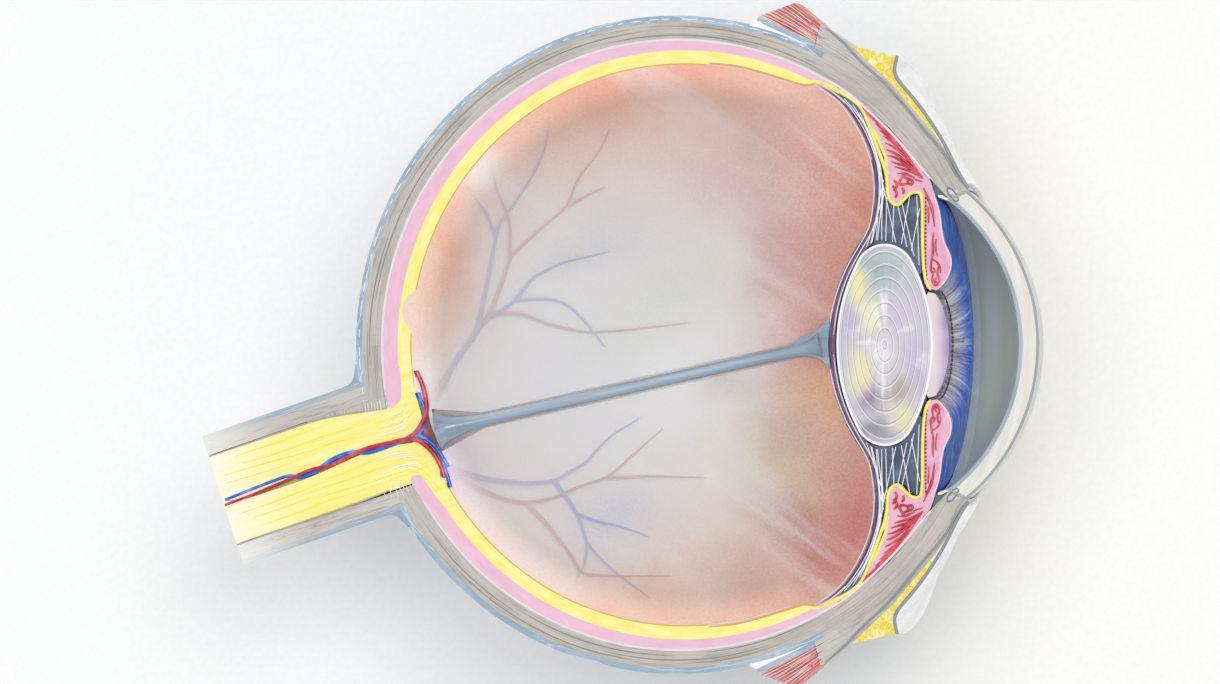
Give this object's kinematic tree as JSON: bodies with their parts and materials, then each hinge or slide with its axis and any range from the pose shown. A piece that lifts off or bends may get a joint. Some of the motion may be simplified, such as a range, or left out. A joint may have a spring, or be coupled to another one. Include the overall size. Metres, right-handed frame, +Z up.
{
  "type": "eye anatomy model",
  "caption": "Take-apart model of an eye cut level through the middle, with lens, vitreous, retina, optic nerve, eye muscle stumps and a low foot.",
  "frame": {"origin": "middle of the resting face, straight below the centre of the globe", "axes": "+X along the optic axis towards the cornea, +Y to the temporal side, +Z up out of the cut face"},
  "size_m": [0.152, 0.1206, 0.0716],
  "materials": {
    "sclera": "satin",
    "blue_skin": "satin",
    "muscle": "satin",
    "fascia": "satin",
    "tendon": "satin",
    "fat": "satin",
    "conjunctiva": "satin",
    "cornea": "glossy",
    "cornea_skin": "glossy",
    "choroid": "satin",
    "retina": "satin",
    "ciliary": "satin",
    "canal_ring": "satin",
    "zonule": "glossy",
    "nerve": "satin",
    "artery": "glossy",
    "vein": "glossy",
    "iris": "satin",
    "pigment": "satin",
    "lens": "glossy",
    "lens_core": "glossy",
    "vitreous": "glossy",
    "membrane": "glossy",
    "canal": "glossy",
    "foot": "satin",
    "mat": "matte",
    "steel": "brushed"
  },
  "bodies": {
    "bowl": {"sclera_bowl": "sclera", "episcleral_skin": "blue_skin", "nerve_sheath": "sclera", "nerve_sheath_skin": "blue_skin", "schlemm_canal": "canal_ring", "lateral_rectus": "muscle", "medial_rectus": "muscle", "lateral_fascia": "fascia", "medial_fascia": "fascia", "lateral_tendon": "tendon", "medial_tendon": "tendon", "orbital_fat": "fat", "conjunctiva": "conjunctiva", "foot": "foot", "foot_mat": "mat", "foot_screw": "steel", "foot_washer": "steel"},
    "uvea_insert": {"choroid": "choroid", "retina": "retina", "ciliary_body": "ciliary", "ciliary_epithelium": "retina", "ciliary_processes": "ciliary", "iris": "iris", "iris_pigment_layer": "pigment", "optic_disc": "nerve", "lamina_cribrosa": "zonule", "optic_nerve_core": "nerve", "central_artery": "artery", "central_vein": "vein", "retinal_arteries": "artery", "retinal_veins": "vein"},
    "vitreous": {"vitreous_body": "vitreous", "hyaloid_membrane": "membrane"},
    "canal": {"hyaloid_canal": "canal"},
    "lens": {"lens_capsule": "lens", "lens_cortex": "lens", "lens_inner_cortex": "lens", "lens_nucleus": "lens_core", "zonule_fibres": "zonule"},
    "cornea": {"cornea_stroma": "cornea", "cornea_epithelium": "cornea_skin", "cornea_endothelium": "cornea_skin"}
  },
  "joints": [
    {"name": "uvea_lift", "type": "slide", "parent": "bowl", "child": "uvea_insert", "axis": [0, 0, 1], "range_m": [0, 0.07]},
    {"name": "vitreous_lift", "type": "slide", "parent": "uvea_insert", "child": "vitreous", "axis": [0, 0, 1], "range_m": [0, 0.06]},
    {"name": "canal_lift", "type": "slide", "parent": "vitreous", "child": "canal", "axis": [0, 0, 1], "range_m": [0, 0.015]},
    {"name": "lens_lift", "type": "slide", "parent": "vitreous", "child": "lens", "axis": [0, 0, 1], "range_m": [0, 0.035]},
    {"name": "cornea_pull", "type": "slide", "parent": "bowl", "child": "cornea", "axis": [1, 0, 0], "range_m": [0, 0.03]}
  ]
}
